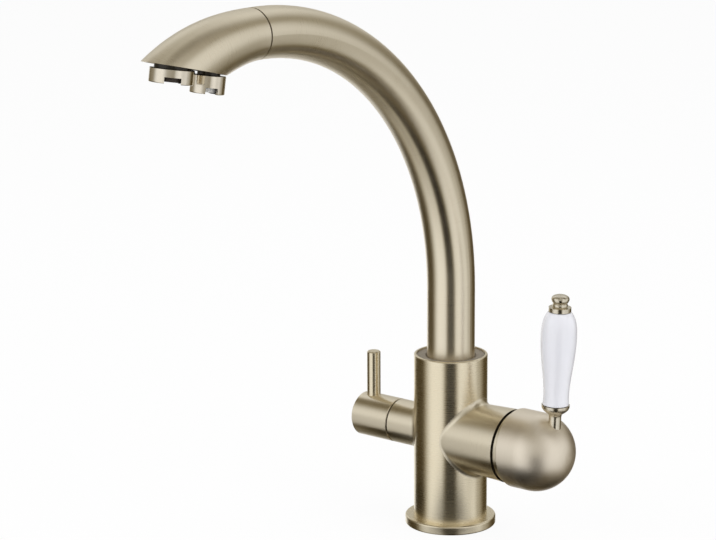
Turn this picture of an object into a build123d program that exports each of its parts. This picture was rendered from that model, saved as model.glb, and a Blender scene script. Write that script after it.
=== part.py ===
from build123d import *
from math import asin, cos, pi, radians, sin, sqrt, tan
import os

# Three way kitchen mixer with a separate filtered-water outlet. All sizes are in millimetres.
# The origin is the centre of the flange's underside, on the deck. +Z is up, +X runs along the
# mixer branch to the ball handle, -X along the filter branch, and the spout points along -Y.

# ---------------------------------------------------------------- driving dimensions
# clearances
RUNNING_GAP = 0.05          # radial clearance of a turning fit
SEAT_GAP = 0.1              # clearance of a piece dropped into its seat
FREE_GAP = 0.4              # clearance between pieces that pass each other
LAPPED_GAP = 0.05           # film of water between the lapped ceramic faces

# base and column
FLANGE_RADIUS = 29.7
FLANGE_THICK = 6.0
FLANGE_EDGE = 1.2           # rounding of the flange's rims
COLUMN_RADIUS = 24.0
COLUMN_TOP = 115.0
COLUMN_RIM = 0.8            # rounding of the collar's rim
SPIGOT_RADIUS = 21.3        # part of the column that passes through the flange
GASKET_RADIUS = 27.6
GASKET_WIDTH = 3.4
GASKET_THICK = 2.0

# inlets in the underside
MANIFOLD_RADIUS = 18.9
MANIFOLD_BOTTOM = 0.0
MANIFOLD_TOP = 16.0
INLET_CIRCLE = 11.5         # distance of the three inlets from the column's axis
PORT_SPREAD = 7.8           # hot and cold water run this far to each side
INLET_BORE = 4.5            # radius of the M10x1 thread
INLET_DEPTH = 10.0
STUD_BORE = 3.4             # radius of the M8 thread
STUD_DEPTH = 13.0
PASSAGE_RADIUS = 2.8
PORT_SEAL_WIDTH = 1.1
PORT_SEAL_THICK = 1.2

# the two side branches share one axis
AXIS_Z = 61.6
BRANCH_END = 50.3           # end face of the mixer branch, where it is as wide as the column
BRANCH_ROOT_RADIUS = 22.0   # the mixer branch tapers to this at the column's axis
FILTER_BRANCH_RADIUS = 14.5
FILTER_SEAM = -42.4         # end face of the filter branch
BRANCH_BLEND = 4.0          # radius of the dressed fillets where the branches meet the column

# mixer cartridge
CAVITY_RADIUS = 17.6
CAVITY_FLOOR = 16.0
NUT_THREAD_RADIUS = 19.5
NUT_KEY_RADIUS = 16.5
NUT_SEAT = 42.0             # shoulder that the retaining nut presses on
NUT_LENGTH = 5.0
CARTRIDGE_BASE_THICK = 5.0
FIXED_DISC_RADIUS = 15.2
MOVING_DISC_RADIUS = 11.9
DISC_THICK = 3.5
CARRIER_FLANGE = 3.0
CARRIER_BOSS_RADIUS = 5.8
CARRIER_BOSS_END = 38.2
POCKET_DEPTH = 5.6
CARTRIDGE_WALL = 1.6
CARTRIDGE_LIP = 1.5
ROTOR_BORE = 10.0
ROTOR_WEB = 1.8
ROTOR_NECK_RADIUS = 10.6
PORT_RISE = 4.6             # hot and cold ports sit this far over the branch axis
MIXED_PORT_DROP = 5.2       # the mixed-water port sits this far under it
MIXED_PASSAGE_X = 7.0
MIXED_PASSAGE_RADIUS = 3.0
CHAMBER_DEPTH = 2.0         # mixing chamber in the face of the sliding disc
CHAMBER_TOP = 0.8

# tilting handle
PIVOT_X = 54.5              # cross pin that the handle tilts on
PIVOT_RADIUS = 2.0
DOME_RADIUS = 23.6          # sphere round the pivot that the cap slides over
DOME_GROOVE = 1.6           # shadow groove between the branch and the dome ring
DOME_GROOVE_RADIUS = 21.2
DOME_LENGTH = 10.5
DOME_WALL = 1.8
CAP_RADIUS = 25.5
CAP_WALL = 1.5
CAP_EDGE = 0.5              # rounding of the cap's rear edge
CAP_CENTRE_X = 69.0         # centre of the ball end
CAP_REAR_X = 55.4           # rear edge of the cap, measured on the axis
CAP_REAR_TILT = 2.9         # the rear edge opens by this wedge towards the bottom
HUB_RADIUS = 8.0
HUB_START_X = 66.0
SPINDLE_SQUARE = 8.0
SPINDLE_END_X = 82.0
LEVER_THICK = 5.6           # flattened part of the cartridge lever on its pin
LEVER_WIDTH = 8.0
BALL_TIP_RADIUS = 3.0
LEVER_NECK_RADIUS = 2.2     # narrow end of the cartridge lever behind its ball tip
BALL_TIP_REACH = 17.5       # from the pivot to the ball tip that drives the sliding disc
HANDLE_SCREW_X = 76.0
HANDLE_SCREW_RADIUS = 2.5

# lever and porcelain grip, on an axis that leans outward
LEVER_LEAN = 2.26
LEVER_FOOT_X = 83.4         # where the lever's axis meets the ball, at LEVER_FOOT_Z
LEVER_FOOT_Z = 82.6
STEM_RADIUS = 4.0
STEM_TOP = 4.6              # heights along the lever are measured from the ball's surface
STEM_SKIRT = 6.0            # the stem reaches this far down to follow the ball
STEM_THREAD_RADIUS = 3.0
STEM_THREAD_LENGTH = 7.0
STEM_BOSS_RADIUS = 5.5
CUP_RADIUS = 9.0
CUP_TOP = 13.0
CUP_LIP = 0.8
# outline of the cup, as shares of its growth in radius and of its height
CUP_FLARE = ((0.16, 0.27), (0.60, 0.48), (0.92, 0.71))
WASHER_THICK = 0.4
WASHER_RADIUS = 6.4
GRIP_BOTTOM_RADIUS = 8.45
GRIP_MIDDLE_RADIUS = 10.25
GRIP_MIDDLE_HEIGHT = 40.0
GRIP_WIDE_RADIUS = 11.45
GRIP_WIDE_HEIGHT = 61.5
GRIP_SHOULDER_RADIUS = 10.3
GRIP_SHOULDER_HEIGHT = 68.8
GRIP_TOP_RADIUS = 7.4
GRIP_TOP = 74.1
COLLAR_RADIUS = 7.2
COLLAR_THICK = 2.6
BEAD_RADIUS = 4.9
BEAD_FOOT_RADIUS = 4.6
BEAD_THICK = 2.5
KNOB_NECK_RADIUS = 4.4
KNOB_RADIUS = 5.75
KNOB_WIDE_RISE = 2.5        # the small knob's widest place, over the bead
KNOB_RISE = 5.6             # its height over the bead
TIE_ROD_RADIUS = 2.0
TIE_ROD_GAP = 0.4
TIE_ROD_START = -2.0
TIE_ROD_END = 80.0

# filter valve and its knob
VALVE_CAVITY_RADIUS = 9.5
VALVE_CAVITY_END = -13.0
VALVE_BODY_BORE = 6.6
VALVE_SHOULDER = -26.0
VALVE_BODY_END = -42.0
FILTER_DISC_START = -13.9
FILTER_DISC_THICK = 2.0
FILTER_PORT_RADIUS = 1.6
FILTER_PORT_OFFSET = 3.4
FILTER_SPINDLE_RADIUS = 3.6
SPINDLE_FLANGE_RADIUS = 6.5
SPINDLE_SLOT_DEPTH = 3.6    # slot in the flange that lets the water out sideways
SPINDLE_SLOT_HALF = 2.0
SPINDLE_ORING_X = -34.0
SPINDLE_ORING_SECTION = 0.8
SPINDLE_FLAT = 0.8
SPINDLE_END = -68.5
VALVE_NECK_RADIUS = 6.0
VALVE_NECK_END = -49.0
VALVE_ORING_PLACES = (-15.1, -24.2)
VALVE_ORING_SECTION = 0.9
WAIST_DEPTH = 1.3           # annular groove that carries water round the valve body
WAIST_LENGTH = 4.6
KNOB_GAP = 0.9
KNOB_END = -72.8
KNOB_CHAMFER = 0.8
GAP_CHAMFER = 0.4           # bevels on both sides of the gap
KNOB_WALL = 2.5
KNOB_HUB_START = -52.0
PIN_X = -64.7
PIN_RADIUS = 4.5
PIN_TOP = 105.6
PIN_CHAMFER = 0.7
PIN_THREAD_RADIUS = 3.0
FILTER_PASSAGE_X = -19.5
CHANNEL_Z = 78.0            # cast channel that carries filtered water to the column's axis
CHANNEL_RADIUS = 2.0

# spout socket in the column's top
SOCKET_FLOOR = 84.0
SOCKET_ROOM = 2.02          # between the spout's tube and the socket, filled by the bushes
RECESS_RADIUS = 22.4
RECESS_DEPTH = 3.2
SLEEVE_CLEARANCE = 0.4      # between the swivel sleeve and the socket
SLEEVE_BOTTOM = 84.4
SLEEVE_SHOULDER = 104.0
SLEEVE_BORE = 11.6
SLEEVE_HUB_RADIUS = 6.4
LOWER_BUSH_TOP = 88.0
UPPER_BUSH_BOTTOM = 105.0
BUSH_FLANGE_THICK = 2.1
BUSH_BEVEL = 1.0            # bevel round the spout's foot
ORING_SECTION = 1.15
ORING_HEIGHTS = (90.6, 101.6)
STOP_GROOVE_Z = 96.2        # groove that the retaining screw runs in
STOP_GROOVE_HEIGHT = 3.6
STOP_GROOVE_DEPTH = 1.8
STOP_SCREW_RADIUS = 2.0
STOP_SCREW_TIP = 1.5
STOP_HALF_ANGLE = 4.0
SCREW_KEY_RADIUS = 1.3
SCREW_KEY_DEPTH = 1.8
RISER_RADIUS = 3.2
RISER_BORE = 2.0
RISER_SEAT_DEPTH = 3.0
RISER_TOP = 97.0
RISER_ORING_Z = 93.6
WEB_THICK = 2.4
WEB_BOTTOM = 98.0
WEB_TOP = 103.0

# spout
TUBE_RADIUS = 15.58
TUBE_WALL = 1.5
BEND_START = 158.5
BEND_RADIUS = 189.2
SEAM_WIDTH = 1.1
SEAM_DEPTH = 1.0
JOINT_SLEEVE_REACH = 8.0
JOINT_SLEEVE_WALL = 1.4
INNER_TUBE_RADIUS = 3.2
INNER_TUBE_BORE = 2.2
HEAD_BEND_RADIUS = 148.0
HEAD_LENGTH = 118.0         # along the head's bent centre line, before the outlet cut
HEAD_STATIONS = 8
HEAD_GROWTH_LENGTH = 50.0
HEAD_GROWTH = 4.5           # growth of the head's section, as given in head_half_height
HEAD_LEVELLING = 1.0        # how much of that growth is lost again as it levels out
HEAD_NARROW = 0.15          # share by which the head is narrower than it is high
HEAD_NARROW_LENGTH = 60.0
INNER_TUBE_BEND = 10.0      # radius of the bend down into the filtered-water nozzle

# outlet face and outlets
CUT_TILT = 14.2
CUT_ROOM = 1.44             # room over the aerator's thread, under the head's inner wall
OUTLET_TILT = 10.0
BLOCK_RECESS = 2.2
BLOCK_THICK = 6.5
AERATOR_AHEAD = 68.4        # the aerator's axis meets the outlet face this far past the seam
AERATOR_RADIUS = 12.95
AERATOR_DROP = 9.7
AERATOR_THREAD_RADIUS = 10.6
AERATOR_BORE = 9.2
OUTLET_GAP = 7.05           # between the rings of the two outlets, along the spout
NOZZLE_RADIUS = 10.2
NOZZLE_DROP = 12.1
NOZZLE_THREAD_RADIUS = 6.8
NOZZLE_BORE = 5.4
OUTLET_EDGE = 0.6
RING_START = 1.2            # the rings start this far under the outlet face, at their axis
NOTCH_DEPTH = 3.7
AERATOR_NOTCH = 9.6
NOZZLE_NOTCH = 7.4
AERATOR_NOTCH_ANGLE = 47.0  # from straight ahead, towards the mixer handle
NOZZLE_NOTCH_ANGLE = 58.0
THREAD_LENGTH = 6.5
INSERT_RECESS = 1.6
INSERT_SETBACK = 1.0        # the inserts end this far inside the outlets' rims
JET_RADIUS = 0.9
WASHER_WALL = 1.6
WASHER_HEIGHT = 1.4
JET_COUNT = 6               # jets on the inner circle; each next circle has as many more
AERATOR_JET_CIRCLES = (3.4, 6.6)
NOZZLE_JET_CIRCLES = (3.0,)

# ---------------------------------------------------------------- derived places
apex_height = BEND_START + BEND_RADIUS
tube_bore = TUBE_RADIUS - TUBE_WALL
socket_radius = TUBE_RADIUS + SOCKET_ROOM
sleeve_radius = socket_radius - SLEEVE_CLEARANCE
hot_cold_x = sqrt(INLET_CIRCLE ** 2 - PORT_SPREAD ** 2)
port_z = AXIS_Z + PORT_RISE
mixed_z = AXIS_Z - MIXED_PORT_DROP
cartridge_radius = CAVITY_RADIUS - SEAT_GAP
base_top = CAVITY_FLOOR + CARTRIDGE_BASE_THICK
fixed_disc_top = base_top + DISC_THICK
moving_disc_start = fixed_disc_top + LAPPED_GAP
moving_disc_top = moving_disc_start + DISC_THICK
carrier_top = moving_disc_top + CARRIER_FLANGE
rotor_start = carrier_top + FREE_GAP
rotor_flange_end = NUT_SEAT - CARTRIDGE_LIP - RUNNING_GAP
ball_tip_x = PIVOT_X - BALL_TIP_REACH
pivot = (PIVOT_X, 0, AXIS_Z)
socket_seat = COLUMN_TOP - RECESS_DEPTH
oring_centre = socket_radius - RUNNING_GAP - ORING_SECTION
grip_bottom = CUP_TOP + WASHER_THICK
collar_bottom = GRIP_TOP + WASHER_THICK
collar_top = collar_bottom + COLLAR_THICK
bead_top = collar_top + BEAD_THICK
finial_top = bead_top + KNOB_RISE
filter_fixed_end = FILTER_DISC_START - FILTER_DISC_THICK
filter_moving_start = filter_fixed_end - LAPPED_GAP
filter_moving_end = filter_moving_start - FILTER_DISC_THICK
valve_oring_centre = VALVE_CAVITY_RADIUS - RUNNING_GAP - VALVE_ORING_SECTION
knob_start = FILTER_SEAM - KNOB_GAP
aerator_reach = BEND_RADIUS + AERATOR_AHEAD
nozzle_reach = aerator_reach - (AERATOR_RADIUS + NOZZLE_RADIUS + OUTLET_GAP)
lever_axis = Plane(
    origin=(LEVER_FOOT_X, 0, LEVER_FOOT_Z),
    x_dir=(cos(radians(LEVER_LEAN)), 0, -sin(radians(LEVER_LEAN))),
    z_dir=(sin(radians(LEVER_LEAN)), 0, cos(radians(LEVER_LEAN))),
)


# ---------------------------------------------------------------- helpers
def rod_z(radius, z0, z1, x=0.0, y=0.0):
    """Upright cylinder between two heights."""
    return extrude(Plane(origin=(x, y, z0)) * Circle(radius), amount=z1 - z0)


def rod_x(radius, x0, x1, y=0.0, z=AXIS_Z):
    """Cylinder along X, on the branches' common axis unless told otherwise."""
    start = Plane(origin=(min(x0, x1), y, z), x_dir=(0, 1, 0), z_dir=(1, 0, 0))
    return extrude(start * Circle(radius), amount=abs(x1 - x0))


def cone_x(radius0, radius1, x0, x1):
    """Cone on the branches' common axis."""
    start = Plane(origin=(x0, 0, AXIS_Z), x_dir=(0, 1, 0), z_dir=(1, 0, 0))
    return start * Cone(radius0, radius1, x1 - x0, align=(Align.CENTER, Align.CENTER, Align.MIN))


def rod_y(radius, y0, y1, x=0.0, z=AXIS_Z):
    """Cylinder along Y."""
    start = Plane(origin=(x, min(y0, y1), z), x_dir=(1, 0, 0), z_dir=(0, 1, 0))
    return extrude(start * Circle(radius), amount=abs(y1 - y0))


def ring_z(outer, inner, z0, z1):
    """Upright ring on the column's axis."""
    return rod_z(outer, z0, z1) - rod_z(inner, z0, z1)


def ring_x(outer, inner, x0, x1):
    """Ring on the branches' axis."""
    return rod_x(outer, x0, x1) - rod_x(inner, x0, x1)


def block(x0, x1, y0, y1, z0, z1):
    """Box between two corners."""
    centre = Pos((x0 + x1) / 2, (y0 + y1) / 2, (z0 + z1) / 2)
    return centre * Box(x1 - x0, y1 - y0, z1 - z0)


def bar_x(x0, x1, half_thick, half_wide):
    """Flat bar on the branches' axis."""
    return block(x0, x1, -half_thick, half_thick, AXIS_Z - half_wide, AXIS_Z + half_wide)


def turned(plane, outline):
    """Solid turned about the plane's Z axis from an outline of (radius, height) curves."""
    section = Plane(origin=plane.origin, x_dir=plane.x_dir, z_dir=-plane.y_dir)
    return revolve(make_face(section * outline), axis=Axis(plane.origin, plane.z_dir))


def oring_x(centre_radius, section_radius, x):
    """O-ring on the branches' axis."""
    return Plane(origin=(x, 0, AXIS_Z), z_dir=(1, 0, 0)) * Torus(centre_radius, section_radius)


def oring_z(centre_radius, section_radius, z):
    """O-ring on the column's axis."""
    return Pos(0, 0, z) * Torus(centre_radius, section_radius)


def group(solids):
    """Separate solids that share one name."""
    return Compound(children=solids)


# ---------------------------------------------------------------- base and column
def make_base_flange():
    flange = rod_z(FLANGE_RADIUS, 0, FLANGE_THICK)
    flange = fillet(flange.edges().filter_by(GeomType.CIRCLE), FLANGE_EDGE)
    flange -= rod_z(SPIGOT_RADIUS + SEAT_GAP, 0, FLANGE_THICK)
    return flange - ring_z(GASKET_RADIUS, GASKET_RADIUS - GASKET_WIDTH, 0, GASKET_THICK)


def make_base_gasket():
    outer = GASKET_RADIUS - SEAT_GAP
    inner = GASKET_RADIUS - GASKET_WIDTH + SEAT_GAP
    return ring_z(outer, inner, 0, GASKET_THICK)


def inlet_places():
    """Hot, cold and filtered inlets, in that order."""
    return ((hot_cold_x, PORT_SPREAD), (hot_cold_x, -PORT_SPREAD), (-INLET_CIRCLE, 0))


def make_inlet_manifold():
    manifold = rod_z(MANIFOLD_RADIUS, MANIFOLD_BOTTOM, MANIFOLD_TOP)
    for x, y in inlet_places():
        manifold -= rod_z(INLET_BORE, MANIFOLD_BOTTOM, MANIFOLD_BOTTOM + INLET_DEPTH, x, y)
        manifold -= rod_z(PASSAGE_RADIUS, MANIFOLD_BOTTOM, MANIFOLD_TOP, x, y)
        seal = PASSAGE_RADIUS + PORT_SEAL_WIDTH
        manifold -= rod_z(seal, MANIFOLD_TOP - PORT_SEAL_THICK, MANIFOLD_TOP, x, y)
    return manifold - rod_z(STUD_BORE, MANIFOLD_BOTTOM, MANIFOLD_BOTTOM + STUD_DEPTH)


def make_manifold_seals():
    seals = []
    for x, y in inlet_places():
        bottom = MANIFOLD_TOP - PORT_SEAL_THICK
        seal = rod_z(PASSAGE_RADIUS + PORT_SEAL_WIDTH, bottom, MANIFOLD_TOP, x, y)
        seals.append(seal - rod_z(PASSAGE_RADIUS, bottom, MANIFOLD_TOP, x, y))
    return group(seals)


def make_column_foot():
    """Turned foot brazed under the column: it holds the manifold and passes through the flange."""
    foot = rod_z(COLUMN_RADIUS, FLANGE_THICK, MANIFOLD_TOP)
    foot += rod_z(SPIGOT_RADIUS, MANIFOLD_BOTTOM, FLANGE_THICK)
    return foot - rod_z(MANIFOLD_RADIUS + SEAT_GAP, MANIFOLD_BOTTOM, MANIFOLD_TOP)


def column_passages():
    """Water ways cast into the column, joined into one cutting form."""
    ways = rod_z(PASSAGE_RADIUS, MANIFOLD_TOP, AXIS_Z, -INLET_CIRCLE)
    for y in (PORT_SPREAD, -PORT_SPREAD):
        ways += rod_z(PASSAGE_RADIUS, MANIFOLD_TOP, port_z, hot_cold_x, y)
        ways += Pos(hot_cold_x, y, port_z) * Sphere(PASSAGE_RADIUS)
        ways += rod_x(PASSAGE_RADIUS, hot_cold_x, CAVITY_FLOOR, y, port_z)
    ways += rod_x(MIXED_PASSAGE_RADIUS, MIXED_PASSAGE_X, CAVITY_FLOOR, 0, mixed_z)
    ways += Pos(MIXED_PASSAGE_X, 0, mixed_z) * Sphere(MIXED_PASSAGE_RADIUS)
    ways += rod_z(MIXED_PASSAGE_RADIUS, mixed_z, SOCKET_FLOOR, MIXED_PASSAGE_X)
    ways += Pos(-INLET_CIRCLE, 0, AXIS_Z) * Sphere(PASSAGE_RADIUS)
    ways += rod_x(PASSAGE_RADIUS, -INLET_CIRCLE, VALVE_CAVITY_END)
    ways += rod_z(CHANNEL_RADIUS, AXIS_Z, CHANNEL_Z, FILTER_PASSAGE_X)
    ways += Pos(FILTER_PASSAGE_X, 0, CHANNEL_Z) * Sphere(CHANNEL_RADIUS)
    ways += rod_x(CHANNEL_RADIUS, FILTER_PASSAGE_X, 0, 0, CHANNEL_Z)
    ways += Pos(0, 0, CHANNEL_Z) * Sphere(CHANNEL_RADIUS)
    ways += rod_z(CHANNEL_RADIUS, CHANNEL_Z, SOCKET_FLOOR)
    return ways + rod_z(RISER_RADIUS, SOCKET_FLOOR - RISER_SEAT_DEPTH, SOCKET_FLOOR)


def make_tap_body():
    column = rod_z(COLUMN_RADIUS, MANIFOLD_TOP, COLUMN_TOP)
    rim = column.edges().filter_by(GeomType.CIRCLE).sort_by(Axis.Z)[-1:]
    body = fillet(rim, COLUMN_RIM)
    body -= rod_z(socket_radius, SOCKET_FLOOR, COLUMN_TOP)
    body -= rod_z(RECESS_RADIUS, socket_seat, COLUMN_TOP)
    body -= rod_x(CAVITY_RADIUS, CAVITY_FLOOR, COLUMN_RADIUS)
    body -= rod_x(VALVE_CAVITY_RADIUS, VALVE_CAVITY_END, -COLUMN_RADIUS)
    body -= column_passages()
    return body - rod_y(STOP_SCREW_RADIUS, 0, COLUMN_RADIUS, 0, STOP_GROOVE_Z)


def dressed_branch(branch):
    """Branch brazed on the column, with the fillet that the two are dressed to."""
    column = rod_z(COLUMN_RADIUS, FLANGE_THICK, COLUMN_TOP)
    joined = column + branch
    crease = []
    for edge in joined.edges():
        if edge.geom_type not in (GeomType.LINE, GeomType.CIRCLE):
            crease.append(edge)
    return fillet(crease, BRANCH_BLEND) - column


def make_mixer_branch():
    branch = dressed_branch(cone_x(BRANCH_ROOT_RADIUS, COLUMN_RADIUS, 0, BRANCH_END))
    branch -= rod_x(CAVITY_RADIUS, 0, BRANCH_END)
    return branch - rod_x(NUT_THREAD_RADIUS, NUT_SEAT, BRANCH_END)


def make_filter_branch():
    branch = rod_x(FILTER_BRANCH_RADIUS, 0, FILTER_SEAM)
    end_edge = branch.edges().filter_by(GeomType.CIRCLE).sort_by(Axis.X)[:1]
    branch = dressed_branch(chamfer(end_edge, GAP_CHAMFER))
    return branch - rod_x(VALVE_CAVITY_RADIUS, 0, FILTER_SEAM)


# ---------------------------------------------------------------- spout socket
def make_lower_bush():
    return ring_z(socket_radius, TUBE_RADIUS + RUNNING_GAP, SOCKET_FLOOR, LOWER_BUSH_TOP)


def make_upper_bush():
    inner = TUBE_RADIUS + RUNNING_GAP
    bush = ring_z(socket_radius, inner, UPPER_BUSH_BOTTOM, socket_seat)
    flange_top = socket_seat + BUSH_FLANGE_THICK
    bush += ring_z(RECESS_RADIUS - SEAT_GAP, inner, socket_seat, flange_top)
    top_edges = bush.edges().filter_by(GeomType.CIRCLE).sort_by(Axis.Z)[-2:]
    return chamfer(top_edges.sort_by(SortBy.RADIUS)[:1], BUSH_BEVEL)


def make_swivel_sleeve():
    barrel_bottom = LOWER_BUSH_TOP + FREE_GAP
    sleeve = ring_z(TUBE_RADIUS, SLEEVE_BORE, SLEEVE_BOTTOM, barrel_bottom)
    sleeve += ring_z(sleeve_radius, SLEEVE_BORE, barrel_bottom, SLEEVE_SHOULDER)
    neck_top = SLEEVE_SHOULDER + JOINT_SLEEVE_REACH
    sleeve += ring_z(tube_bore - RUNNING_GAP, SLEEVE_BORE, SLEEVE_SHOULDER, neck_top)
    groove_floor = oring_centre - ORING_SECTION
    for z in ORING_HEIGHTS:
        sleeve -= ring_z(sleeve_radius, groove_floor, z - ORING_SECTION, z + ORING_SECTION)
    low = STOP_GROOVE_Z - STOP_GROOVE_HEIGHT / 2
    high = STOP_GROOVE_Z + STOP_GROOVE_HEIGHT / 2
    half_stop = sleeve_radius * sin(radians(STOP_HALF_ANGLE))
    groove = ring_z(sleeve_radius, sleeve_radius - STOP_GROOVE_DEPTH, low, high)
    sleeve -= groove - block(-half_stop, half_stop, -COLUMN_RADIUS, 0, low, high)
    hub = rod_z(SLEEVE_HUB_RADIUS, SLEEVE_BOTTOM + FREE_GAP, WEB_TOP)
    web = block(0, SLEEVE_BORE + TUBE_WALL, -WEB_THICK / 2, WEB_THICK / 2, WEB_BOTTOM, WEB_TOP)
    for turn in range(3):
        hub += Rot(0, 0, 90 + 120 * turn) * web
    hub -= rod_z(RISER_RADIUS + RUNNING_GAP, SLEEVE_BOTTOM, RISER_TOP + FREE_GAP)
    hub -= rod_z(INNER_TUBE_BORE, RISER_TOP, WEB_TOP)
    hub -= rod_z(INNER_TUBE_RADIUS, WEB_BOTTOM, WEB_TOP)
    hub -= oring_z(RISER_RADIUS + ORING_SECTION, ORING_SECTION, RISER_ORING_Z)
    return sleeve + hub


def make_spout_orings():
    rings = []
    for z in ORING_HEIGHTS:
        rings.append(oring_z(oring_centre, ORING_SECTION - RUNNING_GAP, z))
    return group(rings)


def make_riser_oring():
    return oring_z(RISER_RADIUS + ORING_SECTION, ORING_SECTION - 2 * RUNNING_GAP, RISER_ORING_Z)


def make_filtered_riser():
    return ring_z(RISER_RADIUS, RISER_BORE, SOCKET_FLOOR - RISER_SEAT_DEPTH, RISER_TOP)


def make_spout_retaining_screw():
    tip = sleeve_radius - STOP_GROOVE_DEPTH + FREE_GAP
    shank = sleeve_radius + FREE_GAP
    head = COLUMN_RADIUS - COLUMN_RIM
    screw = rod_y(STOP_SCREW_RADIUS, shank, head, 0, STOP_GROOVE_Z)
    screw += rod_y(STOP_SCREW_TIP, tip, shank, 0, STOP_GROOVE_Z)
    key = Plane(origin=(0, head, STOP_GROOVE_Z), x_dir=(1, 0, 0), z_dir=(0, -1, 0))
    return screw - extrude(key * RegularPolygon(SCREW_KEY_RADIUS, 6), amount=SCREW_KEY_DEPTH)


# ---------------------------------------------------------------- spout
def bend_point(radius, angle, side):
    """Point of the centre line, an angle in radians before (-1) or after (1) its highest point."""
    reach = BEND_RADIUS + side * radius * sin(angle)
    return Vector(0, -reach, apex_height - radius * (1 - cos(angle)))


def bend_arc(radius, angle, side):
    """Arc of the centre line between its highest point and an angle to one side of it."""
    points = [bend_point(radius, angle * share, side) for share in (0, 0.5, 1)]
    if side < 0:
        points.reverse()
    return ThreePointArc(*points)


def swept(radius, line):
    """Round bar along a line of tangent curves."""
    wire = Wire([curve.edge() for curve in line])
    start = Plane(origin=wire @ 0, z_dir=wire % 0)
    return sweep(start * Circle(radius), path=wire)


def make_spout_tube():
    line = [Line((0, 0, SLEEVE_SHOULDER), (0, 0, BEND_START)), bend_arc(BEND_RADIUS, pi / 2, -1)]
    return swept(TUBE_RADIUS, line) - swept(tube_bore, line)


def make_joint_sleeve():
    """Short sleeve inside the tube and the head, with the narrow collar that shows in the seam."""
    in_tube = [bend_arc(BEND_RADIUS, JOINT_SLEEVE_REACH / BEND_RADIUS, -1)]
    in_head = [bend_arc(HEAD_BEND_RADIUS, JOINT_SLEEVE_REACH / HEAD_BEND_RADIUS, 1)]
    seam_end = -BEND_RADIUS - SEAM_WIDTH + RUNNING_GAP
    sleeve = swept(tube_bore - RUNNING_GAP, in_tube) + swept(tube_bore - FREE_GAP, in_head)
    sleeve += rod_y(TUBE_RADIUS - SEAM_DEPTH, seam_end, -BEND_RADIUS, 0, apex_height)
    return sleeve - swept(tube_bore - FREE_GAP - JOINT_SLEEVE_WALL, in_tube + in_head)


def head_half_height(distance):
    """Half height of the head's section, growing quickly first and levelling out."""
    share = distance / HEAD_GROWTH_LENGTH
    return TUBE_RADIUS + HEAD_GROWTH * share ** 1.5 - HEAD_LEVELLING * share ** 3


def head_half_width(distance):
    """Half width of the head's section, which turns from round to oval."""
    share = min(distance / HEAD_NARROW_LENGTH, 1)
    return head_half_height(distance) * (1 - HEAD_NARROW * share)


def head_loft(inset):
    """Head's form past the seam, drawn in by an inset, before the outlet face is cut."""
    sections = []
    for station in range(HEAD_STATIONS):
        distance = SEAM_WIDTH + (HEAD_LENGTH - SEAM_WIDTH) * station / (HEAD_STATIONS - 1)
        angle = distance / HEAD_BEND_RADIUS
        centre = bend_point(HEAD_BEND_RADIUS, angle, 1)
        place = Plane(origin=centre, x_dir=(1, 0, 0), z_dir=(0, -cos(angle), -sin(angle)))
        half_width = head_half_width(distance) - inset
        half_height = head_half_height(distance) - inset
        sections.append(place * Ellipse(half_width, half_height))
    return loft(sections)


def head_inner_top(ahead):
    """Height of the head's inner wall at its top, a distance ahead of the seam."""
    angle = asin(ahead / (HEAD_BEND_RADIUS + TUBE_RADIUS))
    outer = HEAD_BEND_RADIUS + head_half_height(angle * HEAD_BEND_RADIUS)
    return apex_height - HEAD_BEND_RADIUS + sqrt((outer - TUBE_WALL) ** 2 - ahead ** 2)


def outlet_face_height():
    """Height of the outlet face on the aerator's axis, so that its thread clears the head's wall."""
    tilt = radians(OUTLET_TILT)
    ahead = AERATOR_THREAD_RADIUS * cos(tilt) - THREAD_LENGTH * sin(tilt)
    rise = AERATOR_THREAD_RADIUS * sin(tilt) + THREAD_LENGTH * cos(tilt)
    return head_inner_top(AERATOR_AHEAD + ahead) - CUT_ROOM - rise


def inside_outlet_face(gap):
    """Everything on the inner side of the outlet face, drawn back from it by a gap."""
    size = 2 * HEAD_LENGTH
    face = Plane(
        origin=(0, -aerator_reach, outlet_face_height()),
        x_dir=(1, 0, 0),
        z_dir=(0, -sin(radians(CUT_TILT)), -cos(radians(CUT_TILT))),
    )
    return face.offset(-gap) * Pos(0, 0, -size / 2) * Box(size, size, size)


def make_spout_head():
    return (head_loft(0) & inside_outlet_face(0)) - head_loft(TUBE_WALL)


def outlet_plane(reach):
    """Plane of an outlet where its axis meets the outlet face: Z is the jet, Y is forwards."""
    along = reach - aerator_reach
    height = outlet_face_height() + along * tan(radians(CUT_TILT))
    tilt = radians(OUTLET_TILT)
    return Plane(origin=(0, -reach, height), x_dir=(1, 0, 0), z_dir=(0, -sin(tilt), -cos(tilt)))


def outlet_rod(plane, radius, z0, z1):
    """Cylinder on an outlet's axis, between two depths under the outlet face."""
    return extrude(plane.offset(z0) * Circle(radius), amount=z1 - z0)


def make_outlet_block():
    inner = inside_outlet_face(BLOCK_RECESS) - inside_outlet_face(BLOCK_RECESS + BLOCK_THICK)
    carrier = head_loft(TUBE_WALL + SEAT_GAP) & inner
    aerator = outlet_plane(aerator_reach)
    nozzle = outlet_plane(nozzle_reach)
    above = -2 * BLOCK_THICK
    carrier -= outlet_rod(aerator, AERATOR_THREAD_RADIUS, -THREAD_LENGTH, 0)
    carrier -= outlet_rod(aerator, AERATOR_THREAD_RADIUS - 2 * WASHER_WALL, above, 0)
    carrier -= outlet_rod(nozzle, NOZZLE_THREAD_RADIUS, -THREAD_LENGTH, 0)
    return carrier - outlet_rod(nozzle, INNER_TUBE_RADIUS, above, 0)


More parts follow.
